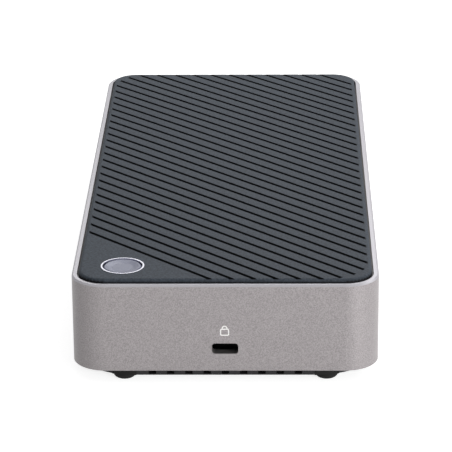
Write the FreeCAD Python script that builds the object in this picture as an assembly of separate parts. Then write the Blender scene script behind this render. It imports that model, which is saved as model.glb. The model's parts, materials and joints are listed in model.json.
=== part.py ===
import FreeCAD, Part
import math
import os

# Docking station with a grooved deck, a metal side frame and ports along both long sides.
# Millimetres. +Z is up, +Y runs along the body from the lock-slot end to the rear end, and +X is
# the right-hand long side. The origin lies on the surface it stands on, under the body's middle.

V = FreeCAD.Vector

# Body
body_width = 82.0
body_length = 186.0
body_corner = 9.0

# Feet
foot_diameter = 6.3
foot_stand = 2.0
foot_pocket = 1.25
foot_clearance = 0.15
foot_from_side = 13.9
foot_setback = 1.0

# Bottom cover
base_plate = 1.7
base_inset = 1.0
base_corner = 15.5
base_edge_chamfer = 0.4
rib_wall = 1.2
rib_height = 2.6
rib_clearance = 0.2
side_rib_length = 150.0
end_rib_length = 44.0
hold_tongue_x = 24.0
hold_tongue_width = 6.0
hold_tongue_reach = 0.9
hold_tongue_height = 1.0
hold_tongue_clearance = 0.2
screw_boss_height = 1.3
screw_boss_size = 5.8
vent_count = 9
vents_per_intake = 3
vent_pitch = 4.88
vent_width = 2.0
vent_length = 10.0
vent_lip = 4.0
vent_floor = 0.45

# Side frame
frame_height = 24.6
frame_wall = 3.0
frame_inner_corner = 9.5
frame_bottom_chamfer = 0.25
rim_width = 1.4
rim_chamfer = 0.45
frame_lug_size = 7.0
frame_lug_height = 5.0
frame_lug_gap = 0.1
lock_slot_width = 7.0
lock_slot_height = 3.0
lock_slot_corner = 0.85
lock_slot_rise = 6.5

# Top cover
deck_plate = 2.2
deck_proud = 1.0
deck_gap = 0.4
deck_edge_round = 1.0
groove_angle = 44.1
groove_pitch = 4.25
groove_width = 1.15
groove_floor_width = 0.85
groove_depth = 0.7
groove_side_margin = 1.0
groove_end_margin = 0.2
groove_field_corner = 12.0
groove_runout = 0.8
smooth_corner = 28.1
clip_width = 8.0
clip_thickness = 1.2
clip_depth = 4.4
clip_hook = 0.7
clip_catch = 2.6
clip_hook_height = 0.5
clip_clearance = 0.25
clip_from_end = 33.0

# Power button
button_from_side = 13.5
button_from_end = 11.6
button_gap = 0.3
button_dish = 0.3
button_dish_slope = 1.6
button_bevel = 0.35
button_land = 0.35
button_travel = 0.5
button_lug_reach = 0.95
button_lug_width = 4.0
button_lug_height = 0.9
button_lug_gap = 0.1
bezel_diameter = 11.7
bezel_width = 0.45
bezel_seat = 1.2
bezel_proud = 0.12
bezel_clearance = 0.05
sleeve_wall = 1.0
sleeve_depth = 2.8
switch_size = 6.0
switch_height = 3.5
plunger_size = 3.4
plunger_rise = 0.9
plunger_seat = 1.3
plunger_clearance = 0.1
button_board_thickness = 1.2
button_board_left = 6.9
button_board_right = 11.8
button_board_front = 5.0
button_board_rear = 11.8

# Boards and what stands on them
board_thickness = 1.6
board_standoff = 3.6
board_clearance = 0.6
board_end_gap = 10.0
board_post_inset = 4.4
board_post_size = 6.0
board_hook_x = 26.0
hook_width = 5.0
hook_arm = 1.2
hook_catch = 0.7
hook_height = 1.0
hook_clearance = 0.05
hub_chip_size = 15.0
hub_chip_height = 1.5
hub_chip_y = -10.0
thermal_pad_thickness = 1.0
heat_sink_width = 28.0
heat_sink_length = 44.0
heat_sink_base = 2.0
fin_count = 7
fin_thickness = 1.2
fin_height = 8.0
video_chip_size = 9.0
video_chip_height = 1.1
video_chip_place = (8.0, 44.0)
memory_chip_width = 5.0
memory_chip_length = 6.0
memory_chip_height = 1.3
memory_chip_place = (-12.0, 60.0)
transformer_width = 8.0
transformer_length = 16.0
transformer_height = 5.6
transformer_gap = 2.0
coil_size = 6.6
coil_height = 3.2
coil_places = ((14.0, -62.0), (14.0, -52.0), (5.0, -62.0))
capacitor_width = 4.3
capacitor_length = 7.3
capacitor_height = 2.9
capacitor_places = ((-8.0, -54.0), (-8.0, -45.0), (6.0, -44.0))
ribbon_width = 6.0
ribbon_thickness = 0.3
ribbon_lead = 3.0
ribbon_y = 19.0
ribbon_socket_width = 8.0
ribbon_socket_depth = 5.0
ribbon_socket_height = 2.0
ribbon_socket_inset = 0.6
ribbon_grip = 3.0

# Lock bracket
bracket_width = 28.0
bracket_thickness = 1.2
bracket_below = 3.5
bracket_above = 4.5
bracket_slot_clearance = 0.2
bracket_rail = 1.4
bracket_rail_overlap = 1.2
bracket_clearance = 0.05

# Screws
screw_clearance = 0.05
cover_screw_diameter = 2.0
cover_screw_length = 5.6
cover_screw_head = 3.8
cover_screw_sink = 0.95
screw_from_wall = 2.4
pilot_spare = 0.6

# Sockets along the long sides
port_setback = 0.4
port_clearance = 0.3
shell_wall = 0.3
shell_back = 0.8
insert_clearance = 0.05
usb_c_mouth = (8.34, 2.56)
usb_c_depth = 7.4
usb_c_tongue = (6.69, 0.7)
usb_c_tongue_back = 0.9
usb_c_block = 1.6
usb_a_mouth = (12.5, 5.12)
usb_a_depth = 13.4
usb_a_tongue = (11.1, 1.84)
usb_a_tongue_lift = 0.95
usb_a_tongue_back = 0.8
usb_a_block = 3.2
video_mouth = (14.0, 4.55)
video_floor_width = 10.0
video_side = 2.9
video_depth = 11.4
video_tongue = (11.4, 1.1)
video_tongue_lift = 0.25
video_tongue_back = 1.2
video_block = 3.0
network_shield = (16.0, 13.6)
network_depth = 21.4
network_mouth = (11.8, 7.0)
network_mouth_rise = 4.4
network_mouth_depth = 12.5
network_latch = ((6.6, 1.5), (4.0, 1.3))
power_body = (9.0, 10.4)
power_depth = 14.0
power_collar = 8.2
power_bore = 6.4
power_bore_depth = 9.4
power_pin = 2.5
power_pin_back = 0.8
audio_body = (7.0, 6.2)
audio_depth = 12.6
audio_collar = 5.8
audio_bore = 3.6
audio_bore_depth = 11.0
collar_overlap = 0.6
card_mouth = (24.4, 2.3)
card_slot_clearance = 0.4
card_base = (27.6, 2.9)
card_floor = 0.6
card_depth = 27.0
card_stop = 2.0
card_gap = 0.2
card_cover_side = 2.0

right_ports_y = {
    "power_inlet": -62.0,
    "host_usb_c": -44.0,
    "video_socket_1": -23.0,
    "video_socket_2": -1.0,
    "network_socket": 22.0,
    "usb_a_right_1": 43.0,
    "usb_a_right_2": 62.0,
}
left_ports_y = {
    "audio_socket": -58.0,
    "front_usb_c": -42.0,
    "usb_a_left_1": -23.0,
    "usb_a_left_2": -3.0,
    "card_reader": 28.0,
}

# Levels and outlines worked out from the sizes above
cut_over = 1.0
half_width = body_width / 2
half_length = body_length / 2
base_bottom_z = foot_stand
frame_bottom_z = base_bottom_z + base_plate
frame_top_z = frame_bottom_z + frame_height
deck_top_z = frame_top_z + deck_proud
deck_under_z = deck_top_z - deck_plate
inner_width = body_width - 2 * frame_wall
inner_length = body_length - 2 * frame_wall
deck_inset = rim_width + deck_gap
deck_width = body_width - 2 * deck_inset
deck_length = body_length - 2 * deck_inset
deck_corner = body_corner - deck_inset
rib_top_z = frame_bottom_z + rib_height
pocket_top_z = base_bottom_z + foot_pocket
boss_top_z = frame_bottom_z + screw_boss_height
board_bottom_z = frame_bottom_z + board_standoff
board_top_z = board_bottom_z + board_thickness
board_width = inner_width - 2 * board_clearance
board_length = inner_length - 2 * board_end_gap
button_x = button_from_side - half_width
button_y = button_from_end - half_length
bezel_radius = bezel_diameter / 2
button_bore = bezel_radius - bezel_width
button_radius = button_bore - button_gap
sleeve_bottom_z = deck_under_z - sleeve_depth
lug_top_z = sleeve_bottom_z - button_lug_gap
lug_bottom_z = lug_top_z - button_lug_height
switch_top_z = lug_bottom_z - plunger_rise
button_board_top_z = switch_top_z - switch_height
button_board_bottom_z = button_board_top_z - button_board_thickness
lock_slot_z = frame_bottom_z + lock_slot_rise
hub_top_z = board_top_z + hub_chip_height

foot_x = half_width - foot_from_side
foot_past_round = max(0.0, base_inset + base_corner - foot_from_side)
foot_edge_y = half_length - base_inset - base_corner + math.sqrt(base_corner ** 2 - foot_past_round ** 2)
foot_y = foot_edge_y - foot_setback - foot_diameter / 2
foot_places = {
    "foot_front_left": (-foot_x, -foot_y),
    "foot_front_right": (foot_x, -foot_y),
    "foot_rear_left": (-foot_x, foot_y),
    "foot_rear_right": (foot_x, foot_y),
}
screw_y = inner_length / 2 - screw_from_wall
screw_places = [(-foot_x, screw_y), (foot_x, screw_y)]
hold_tongue_places = [-hold_tongue_x, hold_tongue_x]
board_post_x = board_width / 2 - board_post_inset
board_post_y = board_length / 2 - board_post_inset
board_posts = [(sx * board_post_x, sy * board_post_y) for sx in (-1, 0, 1) for sy in (-1, 1)]


def rounded_rect(width, length, corner):
    """Outline of a rectangle with round corners, centred on the origin in the XY plane."""
    corners = (
        (width / 2 - corner, length / 2 - corner),
        (corner - width / 2, length / 2 - corner),
        (corner - width / 2, corner - length / 2),
        (width / 2 - corner, corner - length / 2),
    )
    arcs = []
    for quarter, (cx, cy) in enumerate(corners):
        angles = [math.radians(90 * quarter + turn) for turn in (0, 45, 90)]
        arcs.append([V(cx + corner * math.cos(a), cy + corner * math.sin(a), 0) for a in angles])
    edges = []
    for index, points in enumerate(arcs):
        edges.append(Part.Arc(*points).toShape())
        start = points[-1]
        end = arcs[(index + 1) % len(arcs)][0]
        if start.distanceToPoint(end) > Part.Precision.confusion():
            edges.append(Part.LineSegment(start, end).toShape())
    return Part.Wire(edges)


def prism(outline, z0, z1):
    """Solid between two levels with a flat outline as its section."""
    face = Part.Face(outline)
    face.translate(V(0, 0, z0))
    return face.extrude(V(0, 0, z1 - z0))


def block(width, length, corner, z0, z1, x=0.0, y=0.0):
    """Upright prism with a round-cornered section, centred on x, y."""
    solid = prism(rounded_rect(width, length, corner), z0, z1)
    solid.translate(V(x, y, 0))
    return solid


def box(x0, x1, y0, y1, z0, z1):
    """Plain box between two corners."""
    return Part.makeBox(x1 - x0, y1 - y0, z1 - z0, V(x0, y0, z0))


def box_on(x, y, size_x, size_y, z0, z1):
    """Plain upright box centred on x, y."""
    return box(x - size_x / 2, x + size_x / 2, y - size_y / 2, y + size_y / 2, z0, z1)


def mirrored_box(x0, x1, y0, y1, z0, z1):
    """A box on the right and its mirror image on the left."""
    return [box(x0, x1, y0, y1, z0, z1), box(-x1, -x0, y0, y1, z0, z1)]


def cylinder(diameter, x, y, z0, z1):
    """Upright cylinder between two levels."""
    return Part.makeCylinder(diameter / 2, z1 - z0, V(x, y, z0))


def wall_slot(width, height, corner, x, z, y0, y1):
    """Round-cornered prism that runs along Y, for slots through an end wall."""
    solid = block(width, height, corner, -y1, -y0)
    solid.rotate(V(0, 0, 0), V(1, 0, 0), 90)
    solid.translate(V(x, 0, z))
    return solid


def turned(edges, x, y):
    """Solid of revolution about an upright axis through x, y, from a closed r-z profile in XZ."""
    solid = Part.Face(Part.Wire(edges)).revolve(V(0, 0, 0), V(0, 0, 1), 360)
    solid.translate(V(x, y, 0))
    return solid


def path(points):
    """Straight edges from point to point, given as (r, z)."""
    pairs = zip(points, points[1:])
    return [Part.LineSegment(V(a[0], 0, a[1]), V(b[0], 0, b[1])).toShape() for a, b in pairs]


def joined(solids):
    """One solid out of pieces that touch or overlap."""
    return solids[0].multiFuse(solids[1:]).removeSplitter()


def level_edges(solid, z):
    """Edges that lie in one level plane."""
    box_of = [(edge, edge.BoundBox) for edge in solid.Edges]
    reach = 1000 * Part.Precision.confusion()
    return [edge for edge, b in box_of if abs(b.ZMin - z) < reach and abs(b.ZMax - z) < reach]


def turned_to(solid, angle, x=0.0, y=0.0):
    """Copy turned about the body's upright axis and then moved to x, y."""
    copy = solid.copy()
    copy.rotate(V(0, 0, 0), V(0, 0, 1), angle)
    copy.translate(V(x, y, 0))
    return copy


def countersunk(x, y, head_z, seat_top_z, tip_z, head, diameter):
    """Countersunk screw or its hole: a cone from the head up to seat_top_z, then the shank."""
    points = [
        (0, head_z),
        (head / 2, head_z),
        (diameter / 2, seat_top_z),
        (diameter / 2, tip_z),
        (0, tip_z),
        (0, head_z),
    ]
    return turned(path(points), x, y)


def snap_hook(root_z, seat_z):
    """Hook for a board whose edge is at x = 0: an arm from root_z, and a catch on its face at seat_z."""
    tip_z = seat_z + math.copysign(hook_height, seat_z - root_z)
    points = [
        (hook_clearance, root_z),
        (hook_clearance + hook_arm, root_z),
        (hook_clearance + hook_arm, tip_z),
        (0, tip_z),
        (-hook_catch, seat_z),
        (hook_clearance, seat_z),
        (hook_clearance, root_z),
    ]
    profile = Part.Face(Part.Wire(path(points)))
    profile.translate(V(0, -hook_width / 2, 0))
    return profile.extrude(V(0, hook_width, 0))


def socket_panel(width, height, bottom, back, front):
    """Square-cornered socket section: height above the board from bottom, depth from back to front."""
    return box(-width / 2, width / 2, bottom, bottom + height, back, front)


def oval_panel(width, height, bottom, back, front):
    """The same with fully round ends."""
    return block(width, height, height / 2, back, front, 0.0, bottom + height / 2)


def placed(solid, right_side, y, setback):
    """Socket solid moved to its long side, its mouth facing outwards and its floor on the board."""
    copy = solid.copy()
    copy.rotate(V(0, 0, 0), V(1, 1, 1), 120)
    copy.translate(V(half_width - setback, 0, board_top_z))
    if not right_side:
        copy.rotate(V(0, 0, 0), V(0, 0, 1), 180)
    copy.translate(V(0, y, 0))
    return copy


def shell_and_window(panel, mouth, depth):
    """Sheet-metal socket shell with its mouth at the front, and the window that it needs."""
    width, height = mouth
    outer = panel(width + 2 * shell_wall, height + 2 * shell_wall, 0, -depth, 0)
    hollow = panel(width, height, shell_wall, shell_back - depth, cut_over)
    grown = shell_wall + port_clearance
    window = panel(width + 2 * grown, height + 2 * grown, -port_clearance, -frame_wall - cut_over, cut_over)
    return outer.cut(hollow), window


def tongue_on_block(panel, mouth, depth, tongue, lift, tongue_back, block_depth):
    """Plastic insert of a socket: a tongue on a block that fills the back of the shell."""
    back = shell_back - depth
    width = mouth[0] - 2 * insert_clearance
    height = mouth[1] - 2 * insert_clearance
    middle = shell_wall + mouth[1] / 2
    rear = panel(width, height, shell_wall + insert_clearance, back, back + block_depth)
    blade = socket_panel(tongue[0], tongue[1], middle + lift - tongue[1] / 2, back, -tongue_back)
    return joined([rear, blade])


def usb_c_socket(name):
    """Small oval socket: shell, tongue and window."""
    shell, window = shell_and_window(oval_panel, usb_c_mouth, usb_c_depth)
    tongue = tongue_on_block(
        oval_panel, usb_c_mouth, usb_c_depth, usb_c_tongue, 0.0, usb_c_tongue_back, usb_c_block
    )
    return {name + "_shell": shell, name + "_tongue": tongue}, window


def usb_a_socket(name):
    """Flat rectangular socket with its tongue above the middle."""
    shell, window = shell_and_window(socket_panel, usb_a_mouth, usb_a_depth)
    tongue = tongue_on_block(
        socket_panel, usb_a_mouth, usb_a_depth,
        usb_a_tongue, usb_a_tongue_lift, usb_a_tongue_back, usb_a_block
    )
    return {name + "_shell": shell, name + "_tongue": tongue}, window


def video_outline(grown):
    """Mouth of a video socket, grown all round: a rectangle that slopes in to a narrower floor."""
    width, height = video_mouth
    points = [
        V(-width / 2, height, 0),
        V(-width / 2, height - video_side, 0),
        V(-video_floor_width / 2, 0, 0),
        V(video_floor_width / 2, 0, 0),
        V(width / 2, height - video_side, 0),
        V(width / 2, height, 0),
    ]
    outline = Part.makePolygon(points + points[:1])
    outline.translate(V(0, shell_wall, 0))
    if grown:
        outline = outline.makeOffset2D(grown, join=2)
    return outline


def video_socket(name):
    """Video socket: shell, tongue and window."""
    back = shell_back - video_depth
    outer = prism(video_outline(shell_wall), -video_depth, 0)
    shell = outer.cut(prism(video_outline(0), back, cut_over))
    window = prism(video_outline(shell_wall + port_clearance), -frame_wall - cut_over, cut_over)
    rear = prism(video_outline(-insert_clearance), back, back + video_block)
    bottom = shell_wall + video_mouth[1] / 2 + video_tongue_lift - video_tongue[1] / 2
    blade = socket_panel(video_tongue[0], video_tongue[1], bottom, back, -video_tongue_back)
    return {name + "_shell": shell, name + "_tongue": joined([rear, blade])}, window


def network_socket(name):
    """Tall network socket: a plastic body with a stepped latch recess, in a metal shield."""
    width, height = network_shield
    back = shell_back - network_depth
    shield = socket_panel(width, height, 0, -network_depth, 0)
    hollow = socket_panel(width - 2 * shell_wall, height - 2 * shell_wall, shell_wall, back, cut_over)
    inset = shell_wall + insert_clearance
    body = socket_panel(width - 2 * inset, height - 2 * inset, inset, back, -port_setback)
    mouth = [socket_panel(*network_mouth, network_mouth_rise, -network_mouth_depth, cut_over)]
    top = network_mouth_rise
    for latch_width, latch_height in network_latch:
        top -= latch_height
        mouth.append(socket_panel(latch_width, latch_height, top, -network_mouth_depth, cut_over))
    grown = 2 * port_clearance
    window = socket_panel(width + grown, height + grown, -port_clearance, -frame_wall - cut_over, cut_over)
    return {name + "_shield": shield.cut(hollow), name + "_body": body.cut(joined(mouth))}, window


def collared_body(size, depth, collar, bore, bore_depth):
    """Block with a round collar that passes through the frame wall, and a blind bore in it."""
    width, height = size
    collar_length = frame_wall - port_setback + collar_overlap
    middle = height / 2
    rear = socket_panel(width, height, 0, -depth, -collar_length)
    nose = cylinder(collar, 0, middle, -collar_length - cut_over, 0)
    hole = cylinder(bore, 0, middle, -bore_depth, cut_over)
    window = cylinder(collar + 2 * port_clearance, 0, middle, -frame_wall - cut_over, cut_over)
    return joined([rear, nose]).cut(hole), window


def power_inlet(name):
    """Round power inlet with a centre pin."""
    body, window = collared_body(power_body, power_depth, power_collar, power_bore, power_bore_depth)
    pin = cylinder(power_pin, 0, power_body[1] / 2, -power_bore_depth, -power_pin_back)
    return {name + "_body": body, name + "_pin": pin}, window


def audio_socket(name):
    """Round audio socket."""
    body, window = collared_body(audio_body, audio_depth, audio_collar, audio_bore, audio_bore_depth)
    return {name: body}, window


def card_reader(name):
    """Card reader behind the frame wall: a plastic channel with a folded metal cover."""
    width, height = card_base
    front = port_setback - frame_wall - card_gap
    back = front - card_depth
    base = socket_panel(width, height, 0, back, front)
    channel = socket_panel(card_mouth[0], height, card_floor, back + card_stop, front + cut_over)
    outside = width / 2 + shell_wall
    top = socket_panel(2 * outside, shell_wall, height, back, front)
    sides = mirrored_box(width / 2, outside, height - card_cover_side, height + shell_wall, back, front)
    slot_width = card_mouth[0] + 2 * card_slot_clearance
    slot_height = height - card_floor + 2 * card_slot_clearance
    slot_bottom = card_floor - card_slot_clearance
    window = socket_panel(slot_width, slot_height, slot_bottom, -frame_wall - cut_over, cut_over)
    return {name + "_base": base.cut(channel), name + "_cover": joined([top] + sides)}, window


def make_sockets():
    """All sockets in place, and the window that each needs in the frame wall."""
    makers = {
        "power_inlet": power_inlet,
        "host_usb_c": usb_c_socket,
        "front_usb_c": usb_c_socket,
        "video_socket_1": video_socket,
        "video_socket_2": video_socket,
        "network_socket": network_socket,
        "usb_a_right_1": usb_a_socket,
        "usb_a_right_2": usb_a_socket,
        "usb_a_left_1": usb_a_socket,
        "usb_a_left_2": usb_a_socket,
        "audio_socket": audio_socket,
        "card_reader": card_reader,
    }
    nodes = {}
    windows = []
    for right_side, ports in ((True, right_ports_y), (False, left_ports_y)):
        for name, y in ports.items():
            solids, window = makers[name](name)
            windows.append(placed(window, right_side, y, port_setback))
            for node, solid in solids.items():
                nodes[node] = placed(solid, right_side, y, port_setback)
    return nodes, windows


def clip_profile_solid():
    """One snap clip for the right-hand wall, with its hook outwards, centred on y = 0."""
    face_x = inner_width / 2 - clip_clearance
    back_x = face_x - clip_thickness
    bottom_z = deck_under_z - clip_depth
    catch_z = deck_under_z - clip_catch
    points = [
        V(back_x, -clip_width / 2, deck_under_z),
        V(face_x, -clip_width / 2, deck_under_z),
        V(face_x, -clip_width / 2, catch_z),
        V(face_x + clip_hook, -clip_width / 2, catch_z),
        V(face_x + clip_hook, -clip_width / 2, catch_z - clip_hook_height),
        V(face_x, -clip_width / 2, bottom_z),
        V(back_x, -clip_width / 2, bottom_z),
    ]
    return Part.Face(Part.makePolygon(points + points[:1])).extrude(V(0, clip_width, 0))


def clip_recess_solid():
    """Recess in the right-hand wall that a clip's hook snaps into."""
    wall_x = inner_width / 2
    bottom_z = deck_under_z - clip_depth - clip_clearance
    top_z = deck_under_z - clip_catch + clip_clearance / 2
    room = clip_width / 2 + clip_clearance
    return box(wall_x - cut_over, wall_x + clip_hook, -room, room, bottom_z, top_z)


def clip_copies(solid):
    """Copies of a clip or recess: along both long walls, and one in the middle of each end wall."""
    clip_y = half_length - clip_from_end
    copies = []
    for y in (-clip_y, 0.0, clip_y):
        copies += [turned_to(solid, 0, 0, y), turned_to(solid, 180, 0, y)]
    end_shift = (inner_length - inner_width) / 2
    copies += [turned_to(solid, 90, 0, end_shift), turned_to(solid, -90, 0, -end_shift)]
    return copies


def frame_lugs():
    """Lugs on the rear wall that take the cover screws, and the pilot holes in them."""
    bottom_z = boss_top_z + frame_lug_gap
    top_z = bottom_z + frame_lug_height
    reach = frame_lug_size / 2
    wall_y = (inner_length + frame_wall) / 2
    lugs = [box(x - reach, x + reach, y - reach, wall_y, bottom_z, top_z) for x, y in screw_places]
    pilot = cover_screw_diameter + 2 * screw_clearance
    pilots = [cylinder(pilot, x, y, bottom_z - cut_over, top_z - pilot_spare) for x, y in screw_places]
    return lugs, pilots


def bracket_rails():
    """Two upright rails inside the front wall that hold the lock bracket by its sides."""
    wall_y = -inner_length / 2
    root_y = wall_y - frame_wall / 2
    catch_y = wall_y + bracket_thickness + bracket_clearance
    front_y = catch_y + bracket_rail
    side_x = bracket_width / 2 + bracket_clearance
    outer_x = side_x + bracket_rail
    inner_x = side_x - bracket_rail_overlap
    bottom_z = lock_slot_z - bracket_below
    top_z = lock_slot_z + bracket_above
    rails = mirrored_box(side_x, outer_x, root_y, front_y, bottom_z, top_z)
    return rails + mirrored_box(inner_x, outer_x, catch_y, front_y, bottom_z, top_z)


def hold_recesses():
    """Recesses in the front wall for the base's two holding tongues."""
    wall_y = -inner_length / 2
    reach = hold_tongue_width / 2 + hold_tongue_clearance
    deep_y = wall_y - hold_tongue_reach - hold_tongue_clearance
    bottom_z = rib_top_z - hold_tongue_height - hold_tongue_clearance
    top_z = rib_top_z + hold_tongue_clearance
    return [
        box(x - reach, x + reach, deep_y, wall_y + cut_over, bottom_z, top_z) for x in hold_tongue_places
    ]


def make_frame(windows):
    """Side frame: a rounded band with a chamfered rim, a ledge for the deck, ports and screw lugs."""
    band = block(body_width, body_length, body_corner, frame_bottom_z, frame_top_z)
    band = band.makeChamfer(rim_chamfer, level_edges(band, frame_top_z))
    band = band.makeChamfer(frame_bottom_chamfer, level_edges(band, frame_bottom_z))
    inside = block(
        inner_width, inner_length, frame_inner_corner, frame_bottom_z - cut_over, frame_top_z + cut_over
    )
    ledge_cut = block(
        body_width - 2 * rim_width, body_length - 2 * rim_width, body_corner - rim_width,
        deck_under_z, frame_top_z + cut_over
    )
    lugs, pilots = frame_lugs()
    band = joined([band.cut([inside, ledge_cut])] + lugs + bracket_rails())
    lock_slot = wall_slot(
        lock_slot_width, lock_slot_height, lock_slot_corner, 0, lock_slot_z,
        -half_length - cut_over, frame_wall + cut_over - half_length
    )
    return band.cut(pilots + [lock_slot] + hold_recesses() + windows + clip_copies(clip_recess_solid()))


def groove_cutters():
    """Slanting grooves across the deck, stopped short of its edge by a sloped run-out."""
    floor_z = deck_top_z - groove_depth
    open_z = deck_top_z + cut_over
    slope = (groove_width - groove_floor_width) / 2 / groove_depth
    open_half = groove_width / 2 + slope * cut_over
    run = groove_runout / groove_depth * cut_over
    field = Part.makeLoft([
        groove_field(groove_runout, floor_z),
        groove_field(-run, open_z),
    ], True, True)
    reach = deck_width + deck_length
    turn = math.radians(groove_angle)
    along = V(math.sin(turn), -math.cos(turn), 0)
    across = V(math.cos(turn), math.sin(turn), 0)
    first = smooth_corner - across.dot(V(half_width, half_length, 0))
    last = across.dot(V(deck_width / 2, deck_length / 2, 0))
    cutters = []
    for index in range(int((last - first) / groove_pitch) + 1):
        middle = across * (first + index * groove_pitch) - along * reach
        points = [
            middle + across * s + V(0, 0, z)
            for s, z in (
                (-groove_floor_width / 2, floor_z),
                (groove_floor_width / 2, floor_z),
                (open_half, open_z),
                (-open_half, open_z),
            )
        ]
        strip = Part.Face(Part.makePolygon(points + points[:1])).extrude(along * (2 * reach))
        groove = strip.common(field)
        cutters += groove.Solids
    return cutters


def groove_field(inwards, z):
    """Outline that the grooves end on at a level, moved in from its margins."""
    width = deck_width - 2 * (groove_side_margin + inwards)
    length = deck_length - 2 * (groove_end_margin + inwards)
    outline = rounded_rect(width, length, groove_field_corner - inwards)
    outline.translate(V(0, 0, z))
    return outline


def button_board_holders():
    """Two hooks under the deck that hold the button board by its left and right edges, each with a stop."""
    hook = snap_hook(deck_under_z, button_board_bottom_z)
    stop = box(
        -hook_catch, hook_clearance, -hook_width / 2, hook_width / 2,
        button_board_top_z, button_board_top_z + hook_height
    )
    holder = joined([hook, stop])
    return [
        turned_to(holder, 0, button_x + button_board_right, button_y),
        turned_to(holder, 180, button_x - button_board_left, button_y),
    ]


def make_top_cover():
    """Deck with diagonal grooves, a smooth corner with the button's seat, clips and hooks below."""
    plate = block(deck_width, deck_length, deck_corner, deck_under_z, deck_top_z)
    plate = plate.makeFillet(min(deck_edge_round, deck_plate), level_edges(plate, deck_top_z))
    sleeve_size = 2 * (button_bore + sleeve_wall)
    sleeve = box_on(button_x, button_y, sleeve_size, sleeve_size, sleeve_bottom_z, deck_under_z)
    cover = joined([plate, sleeve] + button_board_holders() + clip_copies(clip_profile_solid()))
    seat = bezel_diameter + 2 * bezel_clearance
    holes = [
        cylinder(2 * button_bore, button_x, button_y, sleeve_bottom_z - cut_over, deck_top_z + cut_over),
        cylinder(seat, button_x, button_y, deck_top_z - bezel_seat, deck_top_z + cut_over),
    ]
    return cover.cut(holes + groove_cutters())


def vent_cutters():
    """Vents in both ends of the base: windows in its edge, and behind their lip the intakes they share."""
    end_y = half_length - base_inset
    inner_y = vent_length - end_y
    floor_z = base_bottom_z + vent_floor
    first_x = -((vent_count - 1) * vent_pitch + vent_width) / 2
    intake_width = (vents_per_intake - 1) * vent_pitch + vent_width
    cutters = []
    for index in range(vent_count):
        x0 = first_x + index * vent_pitch
        window = box(x0, x0 + vent_width, -end_y - cut_over, inner_y, floor_z, frame_bottom_z)
        cutters += [window, turned_to(window, 180)]
    for index in range(0, vent_count, vents_per_intake):
        x0 = first_x + index * vent_pitch
        x1 = x0 + intake_width
        intake = box(x0, x1, vent_lip - end_y, inner_y, base_bottom_z - cut_over, frame_bottom_z)
        cutters += [intake, turned_to(intake, 180)]
    return cutters


def base_ribs():
    """Upright ribs that centre the base inside the frame: one along each side and each end."""
    outer_x = inner_width / 2 - rib_clearance
    outer_y = inner_length / 2 - rib_clearance
    half_side = side_rib_length / 2
    half_end = end_rib_length / 2
    ribs = mirrored_box(outer_x - rib_wall, outer_x, -half_side, half_side, frame_bottom_z, rib_top_z)
    for y0 in (-outer_y, outer_y - rib_wall):
        ribs.append(box(-half_end, half_end, y0, y0 + rib_wall, frame_bottom_z, rib_top_z))
    return ribs


def hold_tongues():
    """Two tongues at the base's front end that hook into the frame's front wall."""
    outer_y = rib_clearance - inner_length / 2
    tip_y = -inner_length / 2 - hold_tongue_reach
    reach = hold_tongue_width / 2
    tongues = []
    for x in hold_tongue_places:
        tongues.append(box(x - reach, x + reach, outer_y, outer_y + rib_wall, frame_bottom_z, rib_top_z))
        tongues.append(box(
            x - reach, x + reach, tip_y, outer_y + rib_wall, rib_top_z - hold_tongue_height, rib_top_z
        ))
    return tongues


def main_board_hooks():
    """Four hooks on the base that hold the main board by its front and rear edges."""
    hook = snap_hook(frame_bottom_z, board_top_z)
    edge = board_length / 2
    hooks = []
    for x in (-board_hook_x, board_hook_x):
        hooks += [turned_to(hook, 90, x, edge), turned_to(hook, -90, x, -edge)]
    return hooks


def foot_pockets():
    """Pockets that take the feet, each open to the nearer end of the base."""
    width = foot_diameter + 2 * foot_clearance
    mouth_y = half_length + cut_over
    pockets = []
    for x, y in foot_places.values():
        seat = cylinder(width, x, y, base_bottom_z - cut_over, pocket_top_z)
        end_y = math.copysign(mouth_y, y)
        pockets.append(seat.fuse(box(
            x - width / 2, x + width / 2, min(y, end_y), max(y, end_y), base_bottom_z - cut_over, pocket_top_z
        )))
    return pockets


def screw_bosses():
    """Bosses on the base that the cover screws pass through."""
    reach = screw_boss_size / 2
    wall_y = inner_length / 2 - 2 * rib_clearance
    return [box(x - reach, x + reach, y - reach, wall_y, frame_bottom_z, boss_top_z) for x, y in screw_places]


def make_bottom_cover():
    """Base plate with locating ribs, foot pockets, screw bosses, board posts, hooks and vents."""
    plate_width = body_width - 2 * base_inset
    plate_length = body_length - 2 * base_inset
    plate = block(plate_width, plate_length, base_corner, base_bottom_z, frame_bottom_z)
    plate = plate.makeChamfer(base_edge_chamfer, level_edges(plate, base_bottom_z))
    plate = plate.cut(vent_cutters())
    posts = [
        box_on(x, y, board_post_size, board_post_size, frame_bottom_z, board_bottom_z)
        for x, y in board_posts
    ]
    cover = joined([plate] + base_ribs() + hold_tongues() + posts + main_board_hooks() + screw_bosses())
    shank_hole = cover_screw_diameter + 2 * screw_clearance
    screw_holes = [
        countersunk(
            x, y, pocket_top_z, pocket_top_z + cover_screw_sink, boss_top_z + cut_over,
            cover_screw_head, shank_hole
        )
        for x, y in screw_places
    ]
    return cover.cut(foot_pockets() + screw_holes)


def make_foot(x, y):
    """Round rubber foot that stands in its pocket; the rear ones close over the screws."""
    return cylinder(foot_diameter, x, y, 0, pocket_top_z)


def make_bezel():
    """Bright ring round the button, seated in the deck."""
    bottom = deck_top_z - bezel_seat
    top = deck_top_z + bezel_proud
    points = [
        (button_bore, bottom),
        (bezel_radius, bottom),
        (bezel_radius, top),
        (button_bore, top),
        (button_bore, bottom),
    ]
    return turned(path(points), button_x, button_y)


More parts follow.
